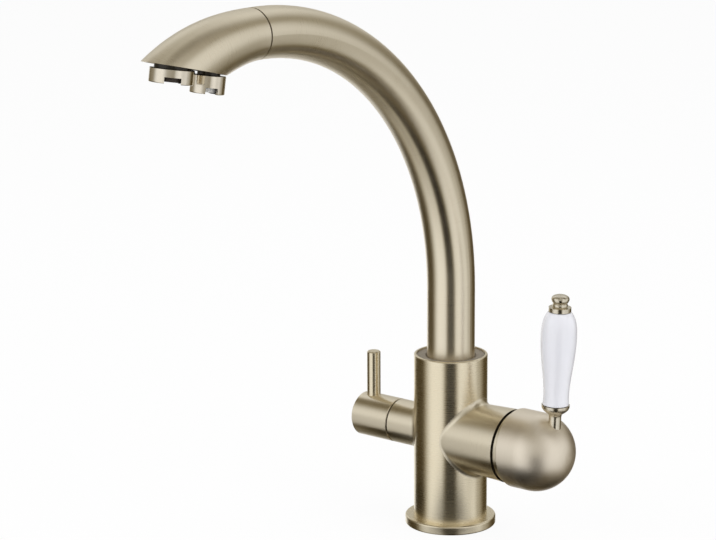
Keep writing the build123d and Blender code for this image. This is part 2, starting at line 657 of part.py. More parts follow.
def make_filtered_water_tube():
    """Thin tube that keeps the filtered water apart, from the swivel to its own nozzle."""
    nozzle = outlet_plane(nozzle_reach)
    down = nozzle.z_dir
    rise = (apex_height - nozzle.origin.Z) / down.Z
    corner = nozzle.origin + down * rise
    turn = radians(90 - OUTLET_TILT)
    setback = INNER_TUBE_BEND * tan(turn / 2)
    start = corner + Vector(0, setback, 0)
    end = corner + down * setback
    inward = (Vector(0, 1, 0) + down).normalized()
    middle = corner + inward * (INNER_TUBE_BEND / cos(turn / 2) - INNER_TUBE_BEND)
    tube_end = nozzle.origin - down * THREAD_LENGTH
    apex = (0, -BEND_RADIUS, apex_height)
    line = [
        Line((0, 0, WEB_BOTTOM), (0, 0, BEND_START)),
        bend_arc(BEND_RADIUS, pi / 2, -1),
        Line(apex, start),
        ThreePointArc(start, middle, end),
        Line(end, tube_end),
    ]
    return swept(INNER_TUBE_RADIUS, line) - swept(INNER_TUBE_BORE, line)


def outlet_housing(plane, radius, bore, thread_radius, drop, notch, notch_angle):
    """Screwed outlet: a ring under the head, a thread up in the block and two key notches."""
    ring = outlet_rod(plane, radius, RING_START, drop)
    ring = fillet(ring.edges().filter_by(GeomType.CIRCLE), OUTLET_EDGE)
    ring += outlet_rod(plane, thread_radius - RUNNING_GAP, WASHER_HEIGHT - THREAD_LENGTH, RING_START)
    ring -= outlet_rod(plane, bore, -THREAD_LENGTH, drop)
    notch_place = plane.offset(drop) * Rot(0, 0, 90 - notch_angle)
    return ring - notch_place * Box(2 * (radius + FREE_GAP), notch, 2 * NOTCH_DEPTH)


def outlet_insert(plane, bore, drop, circles):
    """Flow straightener: a plug with a centre jet and circles of jets, given by their radii."""
    high = WASHER_HEIGHT - THREAD_LENGTH + INSERT_RECESS
    low = drop - INSERT_SETBACK
    insert = outlet_rod(plane, bore - SEAT_GAP, high, low)
    insert -= outlet_rod(plane, JET_RADIUS, high, low)
    for row, radius in enumerate(circles, start=1):
        for place in PolarLocations(radius, row * JET_COUNT):
            jet = plane.offset(high) * place * Circle(JET_RADIUS)
            insert -= extrude(jet, amount=low - high)
    return insert


def outlet_washer(plane, thread_radius):
    """Flat rubber washer at the bottom of an outlet's thread."""
    outer = thread_radius - SEAT_GAP
    bottom = WASHER_HEIGHT - THREAD_LENGTH
    washer = outlet_rod(plane, outer, -THREAD_LENGTH, bottom)
    return washer - outlet_rod(plane, outer - WASHER_WALL, -THREAD_LENGTH, bottom)


# ---------------------------------------------------------------- mixer cartridge
def port_places():
    """Hot, cold and mixed ports as (radius, y, z)."""
    return (
        (PASSAGE_RADIUS, PORT_SPREAD, port_z),
        (PASSAGE_RADIUS, -PORT_SPREAD, port_z),
        (MIXED_PASSAGE_RADIUS, 0, mixed_z),
    )


def make_cartridge_base():
    base = rod_x(cartridge_radius, CAVITY_FLOOR, base_top)
    for radius, y, z in port_places():
        base -= rod_x(radius, CAVITY_FLOOR, base_top, y, z)
        seal = radius + PORT_SEAL_WIDTH
        base -= rod_x(seal, CAVITY_FLOOR, CAVITY_FLOOR + PORT_SEAL_THICK, y, z)
    return base


def make_cartridge_seals():
    end = CAVITY_FLOOR + PORT_SEAL_THICK
    seals = []
    for radius, y, z in port_places():
        seal = rod_x(radius + PORT_SEAL_WIDTH, CAVITY_FLOOR, end, y, z)
        seals.append(seal - rod_x(radius, CAVITY_FLOOR, end, y, z))
    return group(seals)


def make_fixed_disc():
    disc = rod_x(FIXED_DISC_RADIUS, base_top, fixed_disc_top)
    for radius, y, z in port_places():
        disc -= rod_x(radius, base_top, fixed_disc_top, y, z)
    return disc


def make_cartridge_housing():
    shell = rod_x(cartridge_radius, base_top, NUT_SEAT)
    shell -= rod_x(cartridge_radius - CARTRIDGE_WALL, base_top, NUT_SEAT - CARTRIDGE_LIP)
    return shell - rod_x(ROTOR_NECK_RADIUS + RUNNING_GAP, base_top, NUT_SEAT)


def make_moving_disc():
    """Sliding ceramic disc: its chamber joins the ports as the disc moves up."""
    disc = rod_x(MOVING_DISC_RADIUS, moving_disc_start, moving_disc_top)
    half_wide = PORT_SPREAD + PASSAGE_RADIUS / 2
    chamber = block(
        moving_disc_start,
        moving_disc_start + CHAMBER_DEPTH,
        -half_wide,
        half_wide,
        mixed_z - MIXED_PASSAGE_RADIUS,
        AXIS_Z + CHAMBER_TOP,
    )
    return disc - (chamber & rod_x(MOVING_DISC_RADIUS - CARTRIDGE_LIP, CAVITY_FLOOR, NUT_SEAT))


def make_disc_carrier():
    """Plastic carrier on the sliding disc, with the pocket for the lever's ball tip."""
    carrier = rod_x(MOVING_DISC_RADIUS, moving_disc_top, carrier_top)
    carrier += rod_x(CARRIER_BOSS_RADIUS, carrier_top, CARRIER_BOSS_END)
    pocket_start = CARRIER_BOSS_END - POCKET_DEPTH
    return carrier - rod_x(BALL_TIP_RADIUS + FREE_GAP, pocket_start, CARRIER_BOSS_END)


def make_cartridge_rotor():
    """Turning core: a flange under the housing's lip and a fork for the lever."""
    flange_radius = cartridge_radius - CARTRIDGE_WALL - RUNNING_GAP
    neck_end = PIVOT_X + PIVOT_RADIUS + ROTOR_WEB
    rotor = rod_x(flange_radius, rotor_start, rotor_flange_end)
    rotor += rod_x(ROTOR_NECK_RADIUS, rotor_flange_end, neck_end)
    rotor -= rod_x(ROTOR_BORE, rotor_start, rotor_flange_end - ROTOR_WEB)
    half_slot = LEVER_THICK / 2 + FREE_GAP
    rotor -= bar_x(rotor_start, rotor_flange_end, half_slot, ROTOR_BORE - ROTOR_WEB)
    rotor -= bar_x(rotor_flange_end, neck_end, half_slot, ROTOR_NECK_RADIUS)
    return rotor - rod_y(PIVOT_RADIUS, -ROTOR_NECK_RADIUS, ROTOR_NECK_RADIUS, PIVOT_X)


def make_cross_pin():
    half = sqrt(ROTOR_NECK_RADIUS ** 2 - PIVOT_RADIUS ** 2)
    return rod_y(PIVOT_RADIUS, -half, half, PIVOT_X)


def make_cartridge_lever():
    """Flat lever on the cross pin: a ball tip drives the disc, a square carries the handle."""
    shoulder = HUB_START_X - FREE_GAP
    neck_end = PIVOT_X - 2 * PIVOT_RADIUS
    half_square = SPINDLE_SQUARE / 2
    lever = bar_x(neck_end, shoulder, LEVER_THICK / 2, LEVER_WIDTH / 2)
    lever += rod_x(LEVER_NECK_RADIUS, ball_tip_x, neck_end)
    lever += Pos(ball_tip_x, 0, AXIS_Z) * Sphere(BALL_TIP_RADIUS)
    lever += bar_x(shoulder, SPINDLE_END_X, half_square, half_square)
    return lever - rod_y(PIVOT_RADIUS + RUNNING_GAP, -LEVER_THICK, LEVER_THICK, PIVOT_X)


def make_cartridge_nut():
    nut = ring_x(
        NUT_THREAD_RADIUS - RUNNING_GAP,
        ROTOR_NECK_RADIUS + FREE_GAP,
        NUT_SEAT,
        NUT_SEAT + NUT_LENGTH,
    )
    key = Plane(origin=(NUT_SEAT + NUT_LENGTH / 2, 0, AXIS_Z), x_dir=(0, 1, 0), z_dir=(1, 0, 0))
    return nut - extrude(key * RegularPolygon(NUT_KEY_RADIUS, 6), amount=NUT_LENGTH)


def make_dome_ring():
    """Screwed ring that covers the nut and carries the round shoulder under the cap."""
    groove_end = BRANCH_END + DOME_GROOVE
    dome_end = BRANCH_END + DOME_LENGTH
    bore = NUT_THREAD_RADIUS - DOME_WALL
    spigot_start = NUT_SEAT + NUT_LENGTH + FREE_GAP
    dome = Pos(*pivot) * Sphere(DOME_RADIUS) & rod_x(CAP_RADIUS, groove_end, dome_end)
    hollow = Pos(*pivot) * Sphere(DOME_RADIUS - DOME_WALL)
    dome -= hollow & rod_x(CAP_RADIUS, groove_end + DOME_GROOVE, dome_end)
    dome += rod_x(DOME_GROOVE_RADIUS, BRANCH_END, groove_end)
    dome += rod_x(NUT_THREAD_RADIUS - RUNNING_GAP, spigot_start, BRANCH_END)
    return dome - rod_x(bore, spigot_start, dome_end)


# ---------------------------------------------------------------- mixer handle
def ball_form(radius):
    """Cap's outer or inner form: a straight skirt and a half ball."""
    skirt = rod_x(radius, BRANCH_END, CAP_CENTRE_X)
    return skirt + Pos(CAP_CENTRE_X, 0, AXIS_Z) * Sphere(radius)


def in_front_of_cap_rear():
    """Everything in front of the cap's slanted rear edge."""
    tilt = radians(CAP_REAR_TILT)
    face = Plane(origin=(CAP_REAR_X, 0, AXIS_Z), x_dir=(0, 1, 0), z_dir=(cos(tilt), 0, sin(tilt)))
    size = 4 * CAP_RADIUS
    return face * Pos(0, 0, size / 2) * Box(size, size, size)


def lever_rod(radius, h0, h1):
    """Cylinder on the lever's leaning axis, heights from the ball's surface."""
    return extrude(lever_axis.offset(h0) * Circle(radius), amount=h1 - h0)


def make_handle_cap():
    shell = ball_form(CAP_RADIUS) & in_front_of_cap_rear()
    shell = fillet(shell.edges().sort_by(Axis.X)[:1], CAP_EDGE) - ball_form(CAP_RADIUS - CAP_WALL)
    middle_of_wall = ball_form(CAP_RADIUS - CAP_WALL / 2)
    hub = rod_x(HUB_RADIUS, HUB_START_X, CAP_CENTRE_X + CAP_RADIUS) & middle_of_wall
    boss = lever_rod(STEM_BOSS_RADIUS, -2 * STEM_THREAD_LENGTH, STEM_THREAD_LENGTH) & middle_of_wall
    cap = shell + hub + boss
    half = SPINDLE_SQUARE / 2 + SEAT_GAP
    cap -= bar_x(HUB_START_X, SPINDLE_END_X + FREE_GAP, half, half)
    cap -= lever_rod(STEM_THREAD_RADIUS, -STEM_THREAD_LENGTH - FREE_GAP, STEM_THREAD_LENGTH)
    return cap - rod_z(HANDLE_SCREW_RADIUS, AXIS_Z - CAP_RADIUS, AXIS_Z - half, HANDLE_SCREW_X)


def make_handle_grub_screw():
    bottom = AXIS_Z - HUB_RADIUS
    top = AXIS_Z - SPINDLE_SQUARE / 2
    screw = rod_z(HANDLE_SCREW_RADIUS, bottom, top, HANDLE_SCREW_X)
    key = Plane(origin=(HANDLE_SCREW_X, 0, bottom))
    return screw - extrude(key * RegularPolygon(SCREW_KEY_RADIUS, 6), amount=SCREW_KEY_DEPTH)


def make_handle_screw_plug():
    offset = HANDLE_SCREW_X - CAP_CENTRE_X
    inner_surface = AXIS_Z - sqrt((CAP_RADIUS - CAP_WALL) ** 2 - offset ** 2)
    bottom = AXIS_Z - CAP_RADIUS
    plug = rod_z(HANDLE_SCREW_RADIUS, bottom, inner_surface + FREE_GAP, HANDLE_SCREW_X)
    return plug & ball_form(CAP_RADIUS)


def make_lever_stem():
    stem = lever_rod(STEM_RADIUS, -STEM_SKIRT, STEM_TOP) - ball_form(CAP_RADIUS)
    stem += lever_rod(STEM_THREAD_RADIUS, -STEM_THREAD_LENGTH, STEM_TOP)
    return stem - lever_rod(TIE_ROD_RADIUS, TIE_ROD_START, STEM_TOP)


def make_lever_cup():
    """Goblet that flares from the stem to the rim under the porcelain."""
    lip_start = CUP_TOP - CUP_LIP
    points = [(STEM_RADIUS, STEM_TOP)]
    for wide, high in CUP_FLARE:
        radius = STEM_RADIUS + (CUP_RADIUS - STEM_RADIUS) * wide
        points.append((radius, STEM_TOP + (CUP_TOP - STEM_TOP) * high))
    points.append((CUP_RADIUS, lip_start))
    outline = Spline(*points, tangents=[(0, 1), (0.1, 1)]) + Polyline(
        (CUP_RADIUS, lip_start),
        (CUP_RADIUS, CUP_TOP),
        (TIE_ROD_RADIUS, CUP_TOP),
        (TIE_ROD_RADIUS, STEM_TOP),
        (STEM_RADIUS, STEM_TOP),
    )
    return turned(lever_axis, outline)


def make_porcelain_grip():
    """Slender grip, widest near its top, with a rounded shoulder."""
    bore = TIE_ROD_RADIUS + TIE_ROD_GAP
    side = Spline(
        (GRIP_BOTTOM_RADIUS, grip_bottom),
        (GRIP_MIDDLE_RADIUS, GRIP_MIDDLE_HEIGHT),
        (GRIP_WIDE_RADIUS, GRIP_WIDE_HEIGHT),
        (GRIP_SHOULDER_RADIUS, GRIP_SHOULDER_HEIGHT),
        (GRIP_TOP_RADIUS, GRIP_TOP),
    )
    outline = side + Polyline(
        (GRIP_TOP_RADIUS, GRIP_TOP),
        (bore, GRIP_TOP),
        (bore, grip_bottom),
        (GRIP_BOTTOM_RADIUS, grip_bottom),
    )
    return turned(lever_axis, outline)


def make_grip_washers():
    washers = []
    for height in (CUP_TOP, GRIP_TOP):
        washer = lever_rod(WASHER_RADIUS, height, height + WASHER_THICK)
        washers.append(washer - lever_rod(TIE_ROD_RADIUS + TIE_ROD_GAP, height, height + WASHER_THICK))
    return group(washers)


def make_lever_finial():
    """Collar, bead and small knob that close the lever's end."""
    knob = Spline(
        (KNOB_NECK_RADIUS, bead_top),
        (KNOB_RADIUS, bead_top + KNOB_WIDE_RISE),
        (0, finial_top),
        tangents=[(1, 1), (-1, 0)],
    )
    bead = ThreePointArc(
        (BEAD_FOOT_RADIUS, collar_top),
        (BEAD_RADIUS, (collar_top + bead_top) / 2),
        (KNOB_NECK_RADIUS, bead_top),
    )
    outline = knob + bead + Polyline(
        (0, finial_top),
        (0, collar_bottom),
        (COLLAR_RADIUS, collar_bottom),
        (COLLAR_RADIUS, collar_top),
        (BEAD_FOOT_RADIUS, collar_top),
    )
    finial = turned(lever_axis, outline)
    return finial - lever_rod(TIE_ROD_RADIUS, collar_bottom, TIE_ROD_END)


def make_lever_tie_rod():
    return lever_rod(TIE_ROD_RADIUS, TIE_ROD_START, TIE_ROD_END)


# ---------------------------------------------------------------- filter valve
def make_filter_valve_body():
    """Screwed-in valve body: two seals, a waist with water windows and a neck for the spindle."""
    body = rod_x(VALVE_CAVITY_RADIUS - RUNNING_GAP, VALVE_CAVITY_END - SEAT_GAP, VALVE_BODY_END)
    body += rod_x(VALVE_NECK_RADIUS, VALVE_BODY_END, VALVE_NECK_END)
    body -= rod_x(VALVE_BODY_BORE, FILTER_DISC_START, VALVE_SHOULDER)
    body -= rod_x(VALVE_BODY_BORE - CARTRIDGE_LIP, VALVE_CAVITY_END, FILTER_DISC_START)
    body -= rod_x(FILTER_SPINDLE_RADIUS + RUNNING_GAP, VALVE_SHOULDER, VALVE_NECK_END)
    waist_floor = VALVE_CAVITY_RADIUS - WAIST_DEPTH
    half = WAIST_LENGTH / 2
    body -= ring_x(VALVE_CAVITY_RADIUS, waist_floor, FILTER_PASSAGE_X - half, FILTER_PASSAGE_X + half)
    body -= rod_z(CHANNEL_RADIUS, AXIS_Z - waist_floor, AXIS_Z + waist_floor, FILTER_PASSAGE_X)
    floor = valve_oring_centre - VALVE_ORING_SECTION
    for x in VALVE_ORING_PLACES:
        body -= ring_x(VALVE_CAVITY_RADIUS, floor, x - VALVE_ORING_SECTION, x + VALVE_ORING_SECTION)
    start = SPINDLE_ORING_X - SPINDLE_ORING_SECTION
    end = SPINDLE_ORING_X + SPINDLE_ORING_SECTION
    return body - rod_x(FILTER_SPINDLE_RADIUS + 2 * SPINDLE_ORING_SECTION, start, end)


def make_filter_valve_orings():
    rings = []
    for x in VALVE_ORING_PLACES:
        rings.append(oring_x(valve_oring_centre, VALVE_ORING_SECTION - RUNNING_GAP, x))
    return group(rings)


def make_spindle_oring():
    centre = FILTER_SPINDLE_RADIUS + SPINDLE_ORING_SECTION
    return oring_x(centre, SPINDLE_ORING_SECTION - 2 * RUNNING_GAP, SPINDLE_ORING_X)


def filter_disc(start, end):
    """Small ceramic disc with two ports."""
    disc = rod_x(VALVE_BODY_BORE - SEAT_GAP, start, end)
    for side in (1, -1):
        disc -= rod_x(FILTER_PORT_RADIUS, start, end, 0, AXIS_Z + side * FILTER_PORT_OFFSET)
    return disc


def make_filter_fixed_disc():
    return filter_disc(FILTER_DISC_START, filter_fixed_end)


def make_filter_moving_disc():
    """Turning disc, shown closed: its ports lie a quarter turn away from the fixed ones."""
    turn = Axis((0, 0, AXIS_Z), (1, 0, 0))
    return filter_disc(filter_moving_start, filter_moving_end).rotate(turn, 90)


def make_filter_spindle():
    """Spindle whose slotted flange turns the disc and lets the water out sideways."""
    flange_end = VALVE_SHOULDER + SEAT_GAP
    spindle = rod_x(SPINDLE_FLANGE_RADIUS, filter_moving_end, flange_end)
    slot_end = filter_moving_end - SPINDLE_SLOT_DEPTH
    wide = SPINDLE_FLANGE_RADIUS
    spindle -= bar_x(slot_end, filter_moving_end, wide, SPINDLE_SLOT_HALF)
    spindle += rod_x(FILTER_SPINDLE_RADIUS, flange_end, SPINDLE_END)
    flat = AXIS_Z + FILTER_SPINDLE_RADIUS - SPINDLE_FLAT
    half = FILTER_SPINDLE_RADIUS
    flat_end = PIN_X + PIN_RADIUS
    return spindle - block(SPINDLE_END, flat_end, -half, half, flat, flat + SPINDLE_FLAT)


def make_filter_knob():
    knob = rod_x(FILTER_BRANCH_RADIUS, knob_start, KNOB_END)
    end_edge = knob.edges().filter_by(GeomType.CIRCLE).sort_by(Axis.X)[:1]
    knob = chamfer(end_edge, KNOB_CHAMFER)
    gap_edge = knob.edges().filter_by(GeomType.CIRCLE).sort_by(Axis.X)[-1:]
    knob = chamfer(gap_edge, GAP_CHAMFER)
    knob -= rod_x(FILTER_BRANCH_RADIUS - KNOB_WALL, knob_start, KNOB_HUB_START)
    knob -= rod_x(FILTER_SPINDLE_RADIUS + RUNNING_GAP, KNOB_HUB_START, SPINDLE_END - SEAT_GAP)
    return knob - rod_z(PIN_THREAD_RADIUS, AXIS_Z, AXIS_Z + FILTER_BRANCH_RADIUS, PIN_X)


def make_filter_pin_lever():
    """Pin lever whose threaded foot locks the knob on the spindle's flat."""
    pin = rod_z(PIN_RADIUS, AXIS_Z, PIN_TOP, PIN_X)
    top_edge = pin.edges().filter_by(GeomType.CIRCLE).sort_by(Axis.Z)[-1:]
    pin = chamfer(top_edge, PIN_CHAMFER)
    pin -= rod_x(FILTER_BRANCH_RADIUS, knob_start, KNOB_END)
    foot = AXIS_Z + FILTER_SPINDLE_RADIUS - SPINDLE_FLAT
    return pin + rod_z(PIN_THREAD_RADIUS, foot, PIN_TOP - PIN_CHAMFER, PIN_X)


# ---------------------------------------------------------------- all pieces
aerator_place = outlet_plane(aerator_reach)
nozzle_place = outlet_plane(nozzle_reach)
parts = {
    "tap_body": make_tap_body(),
    "column_foot": make_column_foot(),
    "mixer_branch": make_mixer_branch(),
    "filter_branch": make_filter_branch(),
    "base_flange": make_base_flange(),
    "base_gasket": make_base_gasket(),
    "inlet_manifold": make_inlet_manifold(),
    "manifold_seals": make_manifold_seals(),
    "lower_spout_bush": make_lower_bush(),
    "upper_spout_bush": make_upper_bush(),
    "spout_retaining_screw": make_spout_retaining_screw(),
    "filtered_water_riser": make_filtered_riser(),
    "spout_tube": make_spout_tube(),
    "spout_swivel_sleeve": make_swivel_sleeve(),
    "spout_orings": make_spout_orings(),
    "riser_oring": make_riser_oring(),
    "filtered_water_tube": make_filtered_water_tube(),
    "head_joint_sleeve": make_joint_sleeve(),
    "spout_head": make_spout_head(),
    "outlet_block": make_outlet_block(),
    "aerator_housing": outlet_housing(
        aerator_place,
        AERATOR_RADIUS,
        AERATOR_BORE,
        AERATOR_THREAD_RADIUS,
        AERATOR_DROP,
        AERATOR_NOTCH,
        AERATOR_NOTCH_ANGLE,
    ),
    "aerator_insert": outlet_insert(aerator_place, AERATOR_BORE, AERATOR_DROP, AERATOR_JET_CIRCLES),
    "aerator_washer": outlet_washer(aerator_place, AERATOR_THREAD_RADIUS),
    "filter_nozzle_housing": outlet_housing(
        nozzle_place,
        NOZZLE_RADIUS,
        NOZZLE_BORE,
        NOZZLE_THREAD_RADIUS,
        NOZZLE_DROP,
        NOZZLE_NOTCH,
        NOZZLE_NOTCH_ANGLE,
    ),
    "filter_nozzle_insert": outlet_insert(nozzle_place, NOZZLE_BORE, NOZZLE_DROP, NOZZLE_JET_CIRCLES),
    "filter_nozzle_washer": outlet_washer(nozzle_place, NOZZLE_THREAD_RADIUS),
    "cartridge_base": make_cartridge_base(),
    "cartridge_seals": make_cartridge_seals(),
    "fixed_ceramic_disc": make_fixed_disc(),
    "cartridge_housing": make_cartridge_housing(),
    "moving_ceramic_disc": make_moving_disc(),
    "disc_carrier": make_disc_carrier(),
    "cartridge_rotor": make_cartridge_rotor(),
    "lever_cross_pin": make_cross_pin(),
    "cartridge_nut": make_cartridge_nut(),
    "dome_ring": make_dome_ring(),
    "cartridge_lever": make_cartridge_lever(),
    "handle_cap": make_handle_cap(),
    "handle_grub_screw": make_handle_grub_screw(),
    "handle_screw_plug": make_handle_screw_plug(),
    "lever_stem": make_lever_stem(),
    "lever_cup": make_lever_cup(),
    "porcelain_grip": make_porcelain_grip(),
    "grip_washers": make_grip_washers(),
    "lever_finial": make_lever_finial(),
    "lever_tie_rod": make_lever_tie_rod(),
    "filter_valve_body": make_filter_valve_body(),
    "filter_valve_orings": make_filter_valve_orings(),
    "filter_spindle_oring": make_spindle_oring(),
    "filter_fixed_disc": make_filter_fixed_disc(),
    "filter_moving_disc": make_filter_moving_disc(),
    "filter_spindle": make_filter_spindle(),
    "filter_knob": make_filter_knob(),
    "filter_pin_lever": make_filter_pin_lever(),
}

os.makedirs("parts", exist_ok=True)
for name, shape in parts.items():
    export_step(shape, f"parts/{name}.step")
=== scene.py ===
import math

import bpy
from mathutils import Matrix, Vector

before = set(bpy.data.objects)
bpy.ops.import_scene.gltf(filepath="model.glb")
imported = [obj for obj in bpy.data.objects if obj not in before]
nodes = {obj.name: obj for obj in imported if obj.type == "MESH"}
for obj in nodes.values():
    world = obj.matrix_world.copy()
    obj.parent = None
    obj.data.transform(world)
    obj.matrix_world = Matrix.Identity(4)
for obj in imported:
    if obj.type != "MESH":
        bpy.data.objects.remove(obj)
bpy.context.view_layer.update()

# ---------------------------------------------------------------- places shared with the solids, in metres
AXIS_Z = 0.0616             # common axis of the two branches
BEND_START = 0.1585         # the spout's bend starts here
BEND_RADIUS = 0.1892
LEVER_LEAN = 2.26           # degrees that the porcelain lever leans outward
OUTLET_TILT = 10.0          # degrees that the outlets lean forward
AERATOR_MIDDLE = -0.31233   # the outlets' axes, measured across their tilt
NOZZLE_MIDDLE = -0.28127

# ---------------------------------------------------------------- painted shade on bright pieces, in metres
SEAM_SHADE_RADIUS = 0.0215        # painted shade fills the groove behind the ball up to this radius
SEAM_SHADE_START = 0.050          # and on end faces that lie farther out than this
SEAM_SHADE_FACING = (0.90, 0.97)  # how squarely a face looks along X: no painted shade, full painted shade
AERATOR_SHADE_RADIUS = 0.0112       # painted shade fills the outlets up to these radii
NOZZLE_SHADE_RADIUS = 0.0074
NECK_SHADE_FACING = (0.20, 0.50)  # how squarely a face looks up: no painted shade, full painted shade
PAINTED_SHADE_EDGE = 0.0004          # width over which painted shade fades in
PAINTED_SHADE_METALLIC = 0.3

# ---------------------------------------------------------------- camera
CAMERA_PLACE = (1.0960, -1.4194, 0.6056)
CAMERA_TURN = 39.594        # degrees round from the front, towards +X
CAMERA_DOWN = 13.635
CAMERA_ROLL = -0.28
CAMERA_LENS = 143.67        # millimetres, as is the picture's width
PICTURE_WIDTH = 36
CAMERA_SIGHT = 100          # metres that the camera sees

# ---------------------------------------------------------------- studio seen in the metal
DOME_RADIUS = 6.0
DOME_TURNS = 90
DOME_RISES = 36
# Soft flags in front of white paper. Each spans compass angles, counted from +X towards +Y, and
# heights over the horizon, all in degrees: from, to, softness of both edges, then the tone in it.
FLAGS = (
    (-197, -132, (16, 40), -52, 4, 20, 0.05),       # left
    (-190, -140, (16, 34), 4, 62, 20, 0.20),        # left, its upper part
    (-172, -70, (30, 30), 40, 120, 24, 0.46),       # ceiling on the left
    (-126, -76, (20, 20), -120, 0, 20, 0.92),       # left of the camera
    (-73, -34, (16, 14), -120, 6, 14, 0.00),        # front
    (-44, -28, (8, 14), -120, -20, 12, 0.30),       # front, its lower part
    (-84, -18, (24, 26), 4, 62, 16, 0.52),          # front, its upper part
    (-24, 20, (14, 20), -120, 0, 16, 0.90),         # beside the front one
    (0, 50, (20, 20), -120, 34, 16, 0.82),          # beside the right one
    (60, 110, (30, 12), -120, 18, 20, 0.08),        # right
    (36, 70, (18, 20), -120, -6, 16, 0.55),         # right, its lower part
    (52, 104, (26, 26), 16, 40, 18, 0.42),          # right, its middle part
    (36, 66, (16, 16), -34, 4, 12, 0.80),           # right, its edge
    (8, 72, (24, 30), 34, 80, 20, 0.28),            # right, its upper part
    (104, 160, (24, 16), 0, 34, 14, 0.66),          # behind
    (112, 150, (12, 12), -2, 50, 14, 0.80),         # behind, its right part
    (4, 64, (24, 24), 54, 110, 16, 0.66),           # ceiling on the right
    (-400, 400, (1, 1), -120, -45, 26, 0.40),       # floor below
    (-60, 178, (24, 24), -120, -42, 22, 0.20),      # under the arch
    (-400, 400, (1, 1), 56, 120, 22, 0.50),         # ceiling
)
# The dark parts of the studio look brown: they lose some green and more blue.
GREEN_LOSS = 0.36
GREEN_POWER = 3.6
BLUE_LOSS = 0.88
BLUE_POWER = 3

# ---------------------------------------------------------------- dark ovals on the ground, in metres
BALL_SHADE = ((0.052, -0.060), (0.078, 0.070))      # middle, then reach along X and Y
KNOB_SHADE = ((-0.068, -0.040), (0.040, 0.050))
SHADE_HEIGHT = 0.0004
SHADE_SOFTNESS = 0.60       # share of the oval that fades out
SHADE_COLOUR = (0.010, 0.007, 0.003)
SHADE_SIDES = 48
SHADE_RINGS = 8

# ---------------------------------------------------------------- light
FLOOR_REACH = 12.0
FLOOR_TONE = 0.9
FLOOR_GLOW = 0.93           # share of plain white in the floor, as the camera sees it
FILL_TONE = 0.55
LAMP_AIM = (0, 0, 0.2)
LAMPS = (                   # name, place, width and height, watts
    ("key_lamp", (-1.2, -1.6, 1.5), (1.2, 1.6), 14),
    ("side_lamp", (1.8, -0.2, 1.2), (1.0, 1.6), 10),
    ("top_lamp", (0, 0.4, 2.0), (1.6, 1.6), 12),
)

# ---------------------------------------------------------------- grain of the surfaces
SCRATCHES = (130.0, 4.0, 0.7)           # noise: scale, detail, roughness
CLOUDS = (28.0, 4.0, 0.6)
TOOL_MARKS = (420.0, 3.0, 0.6)
TARNISH = (60.0, 3.0, 0.5)
GLAZE_WAVES = (34.0, 2.0, 0.5)
SPECK_DETAIL = (3.0, 0.6)               # detail and roughness, the scale being each material's own
GRAIN_RANGE = (0.3, 0.7)                # a grain keeps mostly to this range
TONE_RANGE = (0.35, 0.65)               # and a brushed tone goes from deep to bright in this one
SCRATCH_SQUEEZE = 60.0                  # how much finer scratches are along a piece than round it
SCRATCH_SHARE = 0.6                     # share of the scratches in the tone, the rest being clouds
SCRATCH_RELIEF = (0.12, 0.00012)        # strength, then depth in metres
MARK_RELIEF = (0.06, 0.0001)
WAVE_RELIEF = (0.05, 0.0004)
SPECK_RELIEF = (0.08, 0.0002)

# ---------------------------------------------------------------- gloss
BRUSHED_SPREAD = (-0.05, 0.06)          # what the grain adds to a material's roughness
MACHINED_SPREAD = (0.0, 0.1)
MOULDED_SPREAD = (-0.06, 0.08)
OUTLET_GLOSS = (0.10, 0.18)             # roughness from and to
GLAZE_GLOSS = (0.10, 0.16)
GLAZE_COAT = 0.6
GLAZE_COAT_ROUGHNESS = 0.05

# ---------------------------------------------------------------- colours, linear
BRASS = (0.91, 0.825, 0.635)
BRASS_DEEP = (0.83, 0.735, 0.545)
PALE_BRASS = (0.91, 0.835, 0.670)
PALE_BRASS_DEEP = (0.83, 0.745, 0.580)
BALL_BRASS = (0.965, 0.890, 0.760)
BALL_BRASS_DEEP = (0.89, 0.80, 0.67)
LEVER_BRASS = (0.80, 0.745, 0.62)
LEVER_BRASS_DEEP = (0.70, 0.64, 0.52)
POLISHED = (0.86, 0.79, 0.66)
PLAIN_BRASS = (0.78, 0.62, 0.36)
# colour of the painted shade in the groove behind the ball and in the outlets
PAINTED_SHADE_RGB = (0.030, 0.022, 0.012)
STEEL = (0.62, 0.62, 0.60)
PORCELAIN = (0.92, 0.92, 0.96)
CERAMIC = (0.80, 0.77, 0.68)
WHITE_PLASTIC = (0.74, 0.74, 0.72)
PALE_PLASTIC = (0.88, 0.88, 0.86)
GREY_PLASTIC = (0.46, 0.47, 0.47)
BROWN_PLASTIC = (0.055, 0.040, 0.030)
FILLED_NYLON = (0.36, 0.31, 0.24)
RUBBER = (0.02, 0.02, 0.02)
TARNISH_TONE = 0.86         # how dark the grain makes a colour
OUTLET_TONE = 0.84
GLAZE_TONES = (0.97, 0.975, 1.0)


# ---------------------------------------------------------------- node helpers
def empty_material(name):
    material = bpy.data.materials.new(name)
    material.use_nodes = True
    material.node_tree.nodes.clear()
    return material


